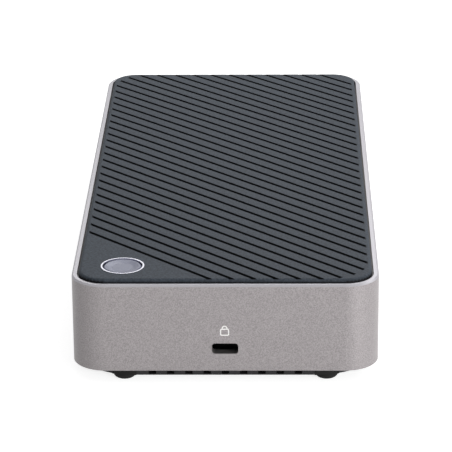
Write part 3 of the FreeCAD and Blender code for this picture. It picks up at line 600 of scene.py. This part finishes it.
@dataclass
class Piece:
    """A new mesh piece on the bench.

    Attributes:
        obj: The Blender object, at the origin with its place in its mesh.
    """

    obj: bpy.types.Object

    @classmethod
    def started(cls, name: str) -> "Piece":
        """Takes over the primitive or copy that was just added.

        Args:
            name: The piece's name.

        Returns:
            The piece, with its place, turn and scale applied to its mesh.
        """
        obj = bpy.context.active_object
        obj.name = name
        obj.data.name = name
        bpy.ops.object.transform_apply(location=True, rotation=True, scale=True)
        return cls(obj)

    @classmethod
    def block(cls, name: str, low: Vector, high: Vector) -> "Piece":
        """Adds a block between two corners.

        Args:
            name: The piece's name.
            low: The lowest corner.
            high: The highest corner.

        Returns:
            The piece.
        """
        bpy.ops.object.select_all(action="DESELECT")
        bpy.ops.mesh.primitive_cube_add(size=1.0, location=(low + high) / 2, scale=high - low)
        return cls.started(name)

    @classmethod
    def rod(
        cls, name: str, middle: Vector, radius: float, length: float, sides: int, lying: bool = False
    ) -> "Piece":
        """Adds a round rod or disc.

        Args:
            name: The piece's name.
            middle: Its middle.
            radius: Its radius.
            length: Its length.
            sides: How many sides its rim has.
            lying: Whether it lies along X, and doesn't stand.

        Returns:
            The piece.
        """
        turn = (0.0, math.pi / 2 if lying else 0.0, 0.0)
        bpy.ops.object.select_all(action="DESELECT")
        bpy.ops.mesh.primitive_cylinder_add(
            vertices=sides, radius=radius, depth=length, location=middle, rotation=turn
        )
        return cls.started(name)

    @classmethod
    def front_sheet(cls, name: str, middle: Vector, width: float, height: float) -> "Piece":
        """Adds a flat sheet that faces the front.

        Args:
            name: The piece's name.
            middle: Its middle.
            width: Its size along X.
            height: Its size along Z.

        Returns:
            The piece.
        """
        bpy.ops.object.select_all(action="DESELECT")
        bpy.ops.mesh.primitive_plane_add(size=1.0, location=middle, rotation=(math.pi / 2, 0, 0))
        bpy.context.active_object.scale = (width, height, 1.0)
        return cls.started(name)

    def pick(self) -> None:
        """Selects the piece alone and makes it active."""
        bpy.ops.object.select_all(action="DESELECT")
        self.obj.select_set(True)
        bpy.context.view_layer.objects.active = self.obj

    @contextmanager
    def editing(self) -> Iterator[None]:
        """Keeps edit mode on for a block of operators."""
        self.pick()
        bpy.ops.object.mode_set(mode="EDIT")
        bpy.ops.mesh.select_all(action="DESELECT")
        yield
        bpy.ops.object.mode_set(mode="OBJECT")

    def select(self, element: Element, test: Callable[[Vector, Vector], bool]) -> None:
        """Selects, in edit mode, the elements that pass a test, and nothing else.

        Args:
            element: What to select.
            test: Takes an element's middle, and its normal or, for an edge, its direction.
        """
        bpy.ops.mesh.select_mode(type=element.value)
        bpy.ops.mesh.select_all(action="DESELECT")
        mesh = bmesh.from_edit_mesh(self.obj.data)
        if element is Element.FACE:
            found = [face for face in mesh.faces if test(face.calc_center_median(), face.normal)]
        elif element is Element.EDGE:
            found = [edge for edge in mesh.edges if test(*self.middle_and_direction(edge))]
        else:
            found = [vertex for vertex in mesh.verts if test(vertex.co, vertex.normal)]
        for item in found:
            item.select_set(True)
        mesh.select_flush_mode()
        bmesh.update_edit_mesh(self.obj.data)

    @staticmethod
    def middle_and_direction(edge: bmesh.types.BMEdge) -> tuple[Vector, Vector]:
        """Gives an edge's middle and its direction."""
        start, end = (vertex.co for vertex in edge.verts)
        return (start + end) / 2, (end - start).normalized()

    def modify(self, kind: str, **settings: object) -> None:
        """Adds a modifier and applies it.

        Args:
            kind: The modifier's type.
            settings: Its settings.
        """
        self.pick()
        modifier = self.obj.modifiers.new(kind.lower(), kind)
        for name, value in settings.items():
            setattr(modifier, name, value)
        bpy.ops.object.modifier_apply(modifier=modifier.name)

    def repeat(self, count: int, pitch: float) -> None:
        """Repeats the piece in a row along Y.

        Args:
            count: How many there are in the row.
            pitch: From one to the next.
        """
        self.modify(
            "ARRAY", count=count, use_relative_offset=False, use_constant_offset=True,
            constant_offset_displace=(0.0, pitch, 0.0),
        )

    def copied(self, name: str, mirror: Vector, shift: Vector) -> "Piece":
        """Copies the piece to another place, with a mesh of its own.

        Args:
            name: The copy's name.
            mirror: -1 for each axis that it is mirrored along, through the origin, otherwise 1.
            shift: How far it is then moved.

        Returns:
            The copy.
        """
        self.pick()
        bpy.ops.object.duplicate(linked=False)
        bpy.context.active_object.scale = mirror
        bpy.context.active_object.location = shift
        copy = Piece.started(name)
        with copy.editing():
            bpy.ops.mesh.select_all(action="SELECT")
            bpy.ops.mesh.normals_make_consistent(inside=False)
        return copy

    def absorb(self, other: "Piece") -> None:
        """Joins another piece into this one.

        Args:
            other: The piece that is used up.
        """
        self.pick()
        other.obj.select_set(True)
        bpy.ops.object.join()

    def smooth(self, angle: float) -> None:
        """Shades the piece smooth except at edges sharper than an angle.

        Args:
            angle: The angle in degrees.
        """
        self.pick()
        bpy.ops.object.shade_smooth_by_angle(angle=math.radians(angle))

    def hand_over(self, paints: Paintbox, finish: Finish, slot: str) -> None:
        """Finishes the piece: its material and the body that it rides on.

        Args:
            paints: The scene's materials.
            finish: The piece's finish.
            slot: The record's material slot; not used.
        """
        paints.apply(self.obj, finish)
        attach(self.obj, HOUSING)
        LOG.info("%s: %d faces on %s", self.obj.name, len(self.obj.data.polygons), HOUSING)


def twin_place(model: str, node: str) -> tuple[Vector, Vector]:
    """Finds how the piece made for one CAD node is mirrored and moved to fit another.

    Args:
        model: The node that the piece was made for.
        node: A node of the same shape, or of its mirror image.

    Returns:
        -1 for each axis to mirror along, otherwise 1, and the shift that follows.
    """
    first, second = (sum(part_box(name), Vector()) / 2 for name in (model, node))
    mirror = Vector([math.copysign(1.0, one * other) for one, other in zip(first, second)])
    return mirror, second - first * mirror


@dataclass
class LockSign:
    """Padlock sign printed over the lock slot.

    Attributes:
        rise_mm: From the slot's middle up to the middle of the padlock's body.
        shift_mm: Sideways from the slot's middle.
        width_mm: Width of the padlock's body.
        height_mm: Height of the padlock's body.
        corner_mm: Corner radius of the body.
        corner_steps: How many edges round off a corner.
        stroke_mm: Width of the printed line.
        shackle_mm: Outside width of the shackle.
        shackle_steps: How many edges its half ring has.
        leg_mm: Height of the shackle's straight legs.
        ink_mm: Thickness of the ink.
        weld_mm: How near to each other points are that become one.
    """

    rise_mm: float = 4.74
    shift_mm: float = -0.1
    width_mm: float = 2.45
    height_mm: float = 2.05
    corner_mm: float = 0.45
    corner_steps: int = 5
    stroke_mm: float = 0.33
    shackle_mm: float = 1.6
    shackle_steps: int = 16
    leg_mm: float = 0.06
    ink_mm: float = 0.03
    weld_mm: float = 0.003

    def build(self, paints: Paintbox, slot_place: Vector) -> None:
        """Prints the sign.

        Args:
            paints: The scene's materials.
            slot_place: Middle of the lock slot on the front face.
        """
        middle = slot_place + Vector((self.shift_mm, 0.0, self.rise_mm)) * MM
        sign = self.body(middle)
        sign.absorb(self.shackle(middle + Vector((0, 0, self.height_mm / 2)) * MM))
        sign.modify("SOLIDIFY", thickness=self.ink_mm * MM, offset=1.0)
        sign.hand_over(paints, INK, "sign_ink")

    def body(self, middle: Vector) -> Piece:
        """Draws the padlock's body as an outline.

        Args:
            middle: Its middle on the front face.

        Returns:
            A flat ring.
        """
        ring = Piece.front_sheet("lock_sign", middle, self.width_mm * MM, self.height_mm * MM)
        with ring.editing():
            bpy.ops.mesh.select_all(action="SELECT")
            bpy.ops.mesh.bevel(offset=self.corner_mm * MM, segments=self.corner_steps, affect="VERTICES")
            bpy.ops.mesh.select_all(action="SELECT")
            bpy.ops.mesh.inset(thickness=self.stroke_mm * MM)
            bpy.ops.mesh.delete(type="FACE")
        return ring

    def shackle(self, foot: Vector) -> Piece:
        """Draws the shackle: half a ring on two legs.

        Args:
            foot: The middle of its feet, on top of the body.

        Returns:
            A flat bow.
        """
        outer = self.shackle_mm / 2 * MM
        stroke = self.stroke_mm * MM
        weld = self.weld_mm * MM
        centre = foot + Vector((0, 0, self.leg_mm * MM))
        start = centre + Vector((outer - stroke / 2, 0, 0))
        bow = Piece.front_sheet("shackle", start, stroke, stroke)
        with bow.editing():
            bow.select(Element.VERTEX, lambda place, _: place.z < centre.z)
            bpy.ops.mesh.delete(type="VERT")
            bpy.ops.mesh.select_all(action="SELECT")
            bpy.ops.transform.translate(value=(0, 0, -stroke / 2))
            bpy.ops.mesh.spin(steps=self.shackle_steps, angle=math.pi, center=centre, axis=(0, 1, 0))
            bow.select(Element.EDGE, lambda place, _: abs(place.z - centre.z) < weld)
            leg = {"value": (0, 0, -self.leg_mm * MM)}
            bpy.ops.mesh.extrude_region_move(TRANSFORM_OT_translate=leg)
            bpy.ops.mesh.select_all(action="SELECT")
            bpy.ops.mesh.remove_doubles(threshold=weld)
            bpy.ops.mesh.normals_make_consistent(inside=False)
        return bow


@dataclass
class RubberFoot:
    """Round moulded foot with a well rounded, dished tread, on a root that fills the pocket in the base.

    Attributes:
        edge_mm: Radius of the tread's edge.
        edge_steps: How many faces round it off.
        land_mm: Width of the ring that it stands on.
        dish_mm: Depth of the dish inside that ring, and width of its slope.
        root_mm: How far the root is wider than the tread on each side, and the radius of the tab's edges.
        tab_steps: How many faces round those off.
        tab_back_mm: How far the root's tab ends behind the base's end.
        base_corner_mm: The base's corner radius.
        sides: How many sides the rim has.
        smooth_angle: The edge angle in degrees up to which it is shaded smooth.
    """

    edge_mm: float = 1.4
    edge_steps: int = 8
    land_mm: float = 0.5
    dish_mm: float = 0.2
    root_mm: float = 0.13
    tab_steps: int = 2
    tab_back_mm: float = 0.1
    base_corner_mm: float = 15.5
    sides: int = 64
    smooth_angle: float = 35.0

    def build(self, paints: Paintbox, nodes: list[str], base: Box) -> None:
        """Makes one foot in place of its plain CAD disc, and copies it for the others.

        Args:
            paints: The scene's materials.
            nodes: The CAD nodes that the feet stand for, the front left one first.
            base: The lowest and highest corner of the base.
        """
        low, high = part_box(nodes[0])
        model = self.tread(nodes[0] + "_tread", low, high, base[0].z)
        model.absorb(self.tab(low, high, base))
        model.smooth(self.smooth_angle)
        copies = [model.copied(node + "_tread", *twin_place(nodes[0], node)) for node in nodes[1:]]
        for node, foot in zip(nodes, [model, *copies]):
            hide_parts(node)
            foot.hand_over(paints, RUBBER, "foot_rubber")

    def tread(self, name: str, low: Vector, high: Vector, pocket_z: float) -> Piece:
        """Makes the round part.

        Args:
            name: The piece's name.
            low: The lowest corner of the CAD disc.
            high: Its highest corner.
            pocket_z: The level of the base's underside, where the pocket starts.

        Returns:
            The tread with its root.
        """
        radius = (high.x - low.x) / 2
        middle = Vector(((low.x + high.x) / 2, (low.y + high.y) / 2, (low.z + pocket_z) / 2))
        widening = 1 + self.root_mm * MM / radius
        tread = Piece.rod(name, middle, radius, pocket_z - low.z, self.sides)
        with tread.editing():
            tread.select(Element.FACE, lambda _, normal: normal.z < -ALONG)
            bpy.ops.mesh.bevel(offset=self.edge_mm * MM, segments=self.edge_steps, affect="EDGES")
            tread.select(Element.FACE, lambda _, normal: normal.z < -EXACTLY_ALONG)
            bpy.ops.mesh.inset(thickness=self.land_mm * MM)
            bpy.ops.mesh.inset(thickness=self.dish_mm * MM, depth=-self.dish_mm * MM)
            tread.select(Element.FACE, lambda _, normal: normal.z > ALONG)
            bpy.ops.mesh.extrude_region_move()
            bpy.ops.transform.resize(value=(widening, widening, 1.0))
            bpy.ops.mesh.extrude_region_move(TRANSFORM_OT_translate={"value": (0, 0, high.z - pocket_z)})
        return tread

    def tab(self, low: Vector, high: Vector, base: Box) -> Piece:
        """Makes the tab that carries the front left foot's root on to the base's end.

        Args:
            low: The lowest corner of the CAD disc.
            high: Its highest corner.
            base: The lowest and highest corner of the base.

        Returns:
            A block whose end follows the base's rounded corner.
        """
        middle_y = (low.y + high.y) / 2
        inner_x, outer_x = (high.x + self.root_mm * MM, low.x - self.root_mm * MM)
        inner_y, outer_y = (-self.base_end(-x, base[1]) for x in (inner_x, outer_x))
        corner = Vector((outer_x, inner_y, base[0].z))
        block = Piece.block("foot_tab", corner, Vector((inner_x, middle_y, high.z)))
        near = self.root_mm / 2 * MM
        with block.editing():
            block.select(Element.VERTEX, lambda place, _: abs(place.x - outer_x) + abs(place.y - inner_y) < near)
            bpy.ops.transform.translate(value=(0, outer_y - inner_y, 0))
            block.select(Element.EDGE, lambda place, way: abs(way.z) > ALONG and place.y < middle_y)
            bpy.ops.mesh.bevel(offset=self.root_mm * MM, segments=self.tab_steps, affect="EDGES")
        return block

    def base_end(self, x: float, base_high: Vector) -> float:
        """Finds how far a tab reaches at one place across the base.

        Args:
            x: The distance from the base's middle line.
            base_high: The highest corner of the base.

        Returns:
            The distance from the base's middle.
        """
        corner = self.base_corner_mm * MM
        past = max(0.0, x - (base_high.x - corner))
        return base_high.y - self.tab_back_mm * MM - corner + math.sqrt(corner * corner - past * past)


@dataclass
class ContactRow:
    """Row of flat spring contacts on a socket's tongue.

    Attributes:
        count: How many contacts there are.
        pitch_mm: From one contact to the next.
        width_mm: Width of a contact.
        length_mm: Length of the bare metal.
        setback_mm: From the tongue's tip to the contacts' ends.
        proud_mm: How far the metal stands out of the tongue.
        above: Whether the row lies on the tongue's upper face.
        edge_share: Size of the bevel at the contacts' ends, as a share of proud_mm.
        edge_steps: How many faces that bevel has.
        tip_mm: How deep the points of the tongue's end face may lie.
    """

    count: int
    pitch_mm: float
    width_mm: float
    length_mm: float
    setback_mm: float
    proud_mm: float
    above: bool
    edge_share: float = 0.8
    edge_steps: int = 2
    tip_mm: float = 0.1

    def build(self, paints: Paintbox, tongues: list[str]) -> None:
        """Lays a row on one tongue and copies it for the others.

        Args:
            paints: The scene's materials.
            tongues: The CAD nodes of equal tongues.
        """
        names = [node.replace("_tongue", "_contacts") for node in tongues]
        rows = [self.row(names[0], tongues[0])]
        for name, node in zip(names[1:], tongues[1:]):
            rows.append(rows[0].copied(name, *twin_place(tongues[0], node)))
        for row in rows:
            row.hand_over(paints, GOLD, "contact_gold")

    def row(self, name: str, node: str) -> Piece:
        """Makes one contact and repeats it along the tongue.

        Args:
            name: The piece's name.
            node: The tongue's CAD node.

        Returns:
            The row.
        """
        side = Side.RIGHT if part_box(node)[0].x > 0 else Side.LEFT
        tip_low, tip_high = self.tongue_tip(node, side)
        end = tip_low.x - side.value * self.setback_mm * MM
        back = end - side.value * self.length_mm * MM
        face = tip_high.z if self.above else tip_low.z
        free = face + (self.proud_mm if self.above else -self.proud_mm) * MM
        first = (tip_low.y + tip_high.y) / 2 - (self.count - 1) / 2 * self.pitch_mm * MM
        half = self.width_mm / 2 * MM
        low = Vector((min(end, back), first - half, min(face, free)))
        high = Vector((max(end, back), first + half, max(face, free)))
        near = self.proud_mm / 10 * MM
        row = Piece.block(name, low, high)
        with row.editing():
            row.select(Element.EDGE, lambda place, _: abs(place.x - end) < near and abs(place.z - free) < near)
            edge = self.proud_mm * self.edge_share * MM
            bpy.ops.mesh.bevel(offset=edge, segments=self.edge_steps, affect="EDGES")
        row.repeat(self.count, self.pitch_mm * MM)
        return row

    def tongue_tip(self, node: str, side: Side) -> Box:
        """Finds the end face of a socket's tongue.

        Args:
            node: The tongue's CAD node.
            side: The long side that the socket opens to.

        Returns:
            The lowest and highest corner of the end face.
        """
        places = [vertex.co for vertex in bpy.data.objects[node].data.vertices]
        end = max(place.x * side.value for place in places)
        tip = [place for place in places if place.x * side.value > end - self.tip_mm * MM]
        low = Vector([min(place[axis] for place in tip) for axis in range(3)])
        high = Vector([max(place[axis] for place in tip) for axis in range(3)])
        return low, high


CONTACTS_OF_SOCKET: dict[str, ContactRow] = {
    "usb_c": ContactRow(
        count=12, pitch_mm=0.5, width_mm=0.26, length_mm=3.2, setback_mm=0.5, proud_mm=0.05, above=True
    ),
    "usb_a": ContactRow(
        count=4, pitch_mm=2.3, width_mm=1.2, length_mm=6.5, setback_mm=0.8, proud_mm=0.12, above=False
    ),
    "video": ContactRow(
        count=10, pitch_mm=1.0, width_mm=0.45, length_mm=5.0, setback_mm=0.6, proud_mm=0.06, above=True
    ),
}


@dataclass
class NetworkSocketTrim:
    """Spring wires and light guides of the network socket.

    Attributes:
        wires: How many spring wires there are.
        pitch_mm: From one wire to the next.
        wire_mm: Diameter of a wire.
        wire_sides: How many sides it has.
        setback_mm: From the socket's face to the front of the wires.
        run_mm: How far the wires run back.
        drop_mm: How far they slope down on the way.
        tail_mm: Length of the bent end at the back.
        wire_angle: The edge angle in degrees up to which the wires are shaded smooth.
        guide_width_mm: Width of a light guide.
        guide_height_mm: Height of a light guide.
        guide_gap_mm: From the mouth's top up to the light guides.
        guide_proud_mm: How far they stand out of the socket's face, and the radius of their edges.
        guide_steps: How many faces round those off.
        guide_depth_mm: How deep they sit in the face.
        guide_angle: The edge angle in degrees up to which the guides are shaded smooth.
    """

    wires: int = 8
    pitch_mm: float = 1.02
    wire_mm: float = 0.45
    wire_sides: int = 8
    setback_mm: float = 2.4
    run_mm: float = 7.5
    drop_mm: float = 3.0
    tail_mm: float = 1.2
    wire_angle: float = 50.0
    guide_width_mm: float = 2.6
    guide_height_mm: float = 1.0
    guide_gap_mm: float = 0.45
    guide_proud_mm: float = 0.1
    guide_steps: int = 3
    guide_depth_mm: float = 0.4
    guide_angle: float = 40.0

    def build(self, paints: Paintbox, mouth: Box) -> None:
        """Fits the wires and guides.

        Args:
            paints: The scene's materials.
            mouth: The lowest and highest corner of the room for the plug.
        """
        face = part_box("network_socket_body")[1].x
        self.fit_wires(paints, face, mouth)
        self.fit_guides(paints, face, mouth)

    def fit_wires(self, paints: Paintbox, face: float, mouth: Box) -> None:
        """Bends one wire and repeats it.

        Args:
            paints: The scene's materials.
            face: Where the socket's face is along X.
            mouth: The room for the plug.
        """
        low, high = mouth
        first = (low.y + high.y) / 2 - (self.wires - 1) / 2 * self.pitch_mm * MM
        start = Vector((face - self.setback_mm * MM, first, high.z))
        diameter = self.wire_mm * MM
        wire = Piece.rod("network_wires", start, diameter / 2, diameter, self.wire_sides, lying=True)
        slope = {"value": (-self.run_mm * MM, 0, -self.drop_mm * MM)}
        tail = {"value": (-self.tail_mm * MM, 0, self.tail_mm * MM)}
        with wire.editing():
            wire.select(Element.FACE, lambda _, normal: normal.x < -ALONG)
            bpy.ops.mesh.extrude_region_move(TRANSFORM_OT_translate=slope)
            bpy.ops.mesh.extrude_region_move(TRANSFORM_OT_translate=tail)
        wire.repeat(self.wires, self.pitch_mm * MM)
        wire.smooth(self.wire_angle)
        wire.hand_over(paints, GOLD, "contact_gold")

    def fit_guides(self, paints: Paintbox, face: float, mouth: Box) -> None:
        """Sets a light guide into the socket's face over each end of the mouth.

        Args:
            paints: The scene's materials.
            face: Where the socket's face is along X.
            mouth: The room for the plug.
        """
        width = self.guide_width_mm * MM
        bottom = mouth[1].z + self.guide_gap_mm * MM
        low = Vector((face - self.guide_depth_mm * MM, mouth[0].y, bottom))
        high = Vector((face + self.guide_proud_mm * MM, mouth[0].y + width, bottom + self.guide_height_mm * MM))
        guide = Piece.block("network_guide_front", low, high)
        with guide.editing():
            guide.select(Element.FACE, lambda _, normal: normal.x > ALONG)
            bpy.ops.mesh.bevel(offset=self.guide_proud_mm * MM, segments=self.guide_steps, affect="EDGES")
        guide.smooth(self.guide_angle)
        along = Vector((0.0, mouth[1].y - mouth[0].y - width, 0.0))
        for piece in (guide, guide.copied("network_guide_rear", Vector((1.0, 1.0, 1.0)), along)):
            piece.hand_over(paints, GUIDE, "light_guide")


@dataclass(frozen=True)
class Softbox:
    """Soft lamp that faces the object.

    Attributes:
        name: The lamp's name.
        place_m: Where it stands.
        size_m: Its width and height.
        power_w: Its power.
        aim_m: What it faces.
    """

    name: str
    place_m: tuple[float, float, float]
    size_m: tuple[float, float]
    power_w: float
    aim_m: tuple[float, float, float] = (0.0, 0.0, 0.02)

    def build(self) -> None:
        """Sets the lamp up."""
        lamp = bpy.data.lights.new(self.name, "AREA")
        lamp.shape = "RECTANGLE"
        lamp.size, lamp.size_y = self.size_m
        lamp.energy = self.power_w
        obj = bpy.data.objects.new(self.name, lamp)
        obj.location = self.place_m
        obj.rotation_euler = (Vector(self.aim_m) - Vector(self.place_m)).to_track_quat("-Z", "Y").to_euler()
        bpy.context.scene.collection.objects.link(obj)


@dataclass
class Studio:
    """White floor and soft lights.

    Attributes:
        floor_m: Size of the floor.
        floor_colour: Colour of the floor.
        floor_lift: Light that the floor adds for the camera, so that it reaches white.
        sky_left: Strength of the surrounding light on the object from the far left.
        sky_right: The same from the far right.
        softboxes: The lamps.
    """

    floor_m: float = 12.0
    floor_colour: str = "#C4C4C4"
    floor_lift: float = 0.82
    sky_left: float = 0.12
    sky_right: float = 0.7
    softboxes: tuple[Softbox, ...] = (
        Softbox("rear_softbox", place_m=(0.05, 0.35, 0.36), size_m=(0.3, 0.2), power_w=0.8),
        Softbox("edge_softbox", place_m=(0.8, 0.23, 0.76), size_m=(0.35, 0.35), power_w=1.5),
        Softbox("right_softbox", place_m=(0.56, -0.667, 0.15), size_m=(0.4, 0.26), power_w=5.0),
        Softbox("front_fill", place_m=(0.3, -1.4, 0.6), size_m=(0.9, 0.6), power_w=0.4),
    )

    def build(self) -> None:
        """Sets up floor, surroundings and lamps."""
        self.lay_floor()
        self.set_surroundings()
        for softbox in self.softboxes:
            softbox.build()

    def lay_floor(self) -> None:
        """Lays a pale floor that is white to the camera outside the object's shadow."""
        bpy.ops.object.select_all(action="DESELECT")
        bpy.ops.mesh.primitive_plane_add(size=self.floor_m, location=(0, 0, 0))
        floor = bpy.context.active_object
        floor.name = "studio_floor"
        material = bpy.data.materials.new("pale_floor")
        material.use_nodes = True
        tree = material.node_tree
        tree.nodes.clear()
        seen = {0: self.seen_rays(tree), 1: self.floor_lift}
        lift = add_node(tree, "ShaderNodeMath", {"operation": "MULTIPLY"}, seen)
        matt = add_node(tree, "ShaderNodeBsdfDiffuse", None, {"Color": linear(self.floor_colour)})
        glow = add_node(tree, "ShaderNodeEmission", None, {"Strength": lift.outputs["Value"]})
        both = add_node(tree, "ShaderNodeAddShader", None, {0: matt.outputs[0], 1: glow.outputs[0]})
        add_node(tree, "ShaderNodeOutputMaterial", None, {"Surface": both.outputs["Shader"]})
        floor.data.materials.append(material)

    @staticmethod
    def seen_rays(tree: Tree) -> Socket:
        """Tells rays that see a background from those that light the object.

        Args:
            tree: A node tree.

        Returns:
            1 for camera, glossy and transmission rays, otherwise 0.
        """
        path = add_node(tree, "ShaderNodeLightPath").outputs
        seen = path["Is Camera Ray"]
        for kind in ("Is Glossy Ray", "Is Transmission Ray"):
            pair = {0: seen, 1: path[kind]}
            seen = add_node(tree, "ShaderNodeMath", {"operation": "MAXIMUM"}, pair).outputs["Value"]
        return seen

    def set_surroundings(self) -> None:
        """Surrounds the object with plain light, white where it is seen or mirrored."""
        world = bpy.data.worlds.new("studio")
        world.use_nodes = True
        tree = world.node_tree
        tree.nodes.clear()
        direction = add_node(tree, "ShaderNodeTexCoord").outputs["Generated"]
        across = add_node(tree, "ShaderNodeSeparateXYZ", None, {"Vector": direction}).outputs["X"]
        grade = {"Value": across, "From Min": -1.0, "To Min": self.sky_left, "To Max": self.sky_right}
        lighting = add_node(tree, "ShaderNodeMapRange", None, grade).outputs["Result"]
        limits = {"Factor": self.seen_rays(tree), NUMBER_A: lighting, NUMBER_B: 1.0}
        strength = add_node(tree, "ShaderNodeMix", {"data_type": "FLOAT"}, limits).outputs[NUMBER_OUT]
        light = {"Color": linear("#FFFFFF"), "Strength": strength}
        sky = add_node(tree, "ShaderNodeBackground", None, light)
        add_node(tree, "ShaderNodeOutputWorld", None, {"Surface": sky.outputs["Background"]})
        bpy.context.scene.world = world


@dataclass
class Viewpoint:
    """The camera, a little right of the lock-slot end and above it.

    Attributes:
        place_mm: Where the camera stands.
        focus_pixels: Its focal length as a distance in pixels of the picture.
        pitch: How far it looks down, in degrees.
        yaw: How far it looks to the right of the body's length, in degrees.
        roll: How far it leans, in degrees.
        sensor_mm: Width of the sensor.
    """

    place_mm: tuple[float, float, float] = (13.5, -734.3, 286.0)
    focus_pixels: float = 2624.0
    pitch: float = 20.59
    yaw: float = -1.16
    roll: float = -0.486
    sensor_mm: float = 36.0

    def build(self) -> None:
        """Sets the camera up and makes it the scene's."""
        camera = bpy.data.cameras.new("viewpoint")
        camera.sensor_width = self.sensor_mm
        camera.lens = self.focus_pixels / IMAGE_PIXELS * self.sensor_mm
        obj = bpy.data.objects.new("viewpoint", camera)
        stand = Matrix.Translation(Vector(self.place_mm) * MM)
        # A camera looks straight down until it is turned.
        for angle, axis in ((-self.yaw, "Z"), (90.0 - self.pitch, "X"), (self.roll, "Z")):
            stand = stand @ Matrix.Rotation(math.radians(angle), 4, axis)
        obj.matrix_world = stand
        bpy.context.scene.collection.objects.link(obj)
        bpy.context.scene.camera = obj


@dataclass
class DockingStation:
    """The docking station: its CAD frame with finishes and trim.

    Attributes:
        frame: What the loader gives.
        paints: The scene's materials.
    """

    frame: dict
    paints: Paintbox

    def build(self) -> None:
        """Dresses the CAD nodes and adds the trim."""
        self.dress_nodes()
        record = self.frame["record"]
        slot = self.named(record["mounts"], "lock_slot")["pos_m"]
        low, high = self.named(record["physics"]["openings"], "network_mouth")["box_m"]
        nodes = sorted(self.frame["nodes"])
        feet = [node for node in nodes if node.startswith("foot_")]
        tongues = [node for node in nodes if node.endswith("_tongue")]
        LockSign().build(self.paints, Vector(slot))
        RubberFoot().build(self.paints, feet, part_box("bottom_cover"))
        for kind, row in CONTACTS_OF_SOCKET.items():
            row.build(self.paints, [node for node in tongues if kind in node])
        NetworkSocketTrim().build(self.paints, (Vector(low), Vector(high)))

    def dress_nodes(self) -> None:
        """Gives every CAD node the finish of its slot."""
        for part in self.frame["record"]["subparts"]:
            finish = FINISH_OF_SLOT[part["material_slot"]]
            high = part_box(part["node"])[1] / MM
            if isinstance(finish, GroovedDeckFinish):
                finish = replace(finish, half_mm=(high.x, high.y), top_mm=high.z)
            elif isinstance(finish, CoatedBandFinish):
                finish = replace(finish, half_mm=(high.x, high.y), rim_mm=high.z)
            self.paints.apply(self.frame["nodes"][part["node"]], finish)
            LOG.info("%s: %s", part["node"], finish.name)

    @staticmethod
    def named(entries: list[dict], name: str) -> dict:
        """Finds the entry with one name in a list of the record."""
        return next(entry for entry in entries if entry["name"] == name)


def main() -> None:
    """Builds the scene around the CAD frame."""
    logging.basicConfig(level=logging.INFO, format="%(name)s: %(message)s")
    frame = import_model()
    bpy.ops.object.select_all(action="DESELECT")
    bpy.context.scene.view_settings.view_transform = "Standard"
    DockingStation(frame, Paintbox()).build()
    Studio().build()
    Viewpoint().build()


if __name__ == "__main__":
    main()
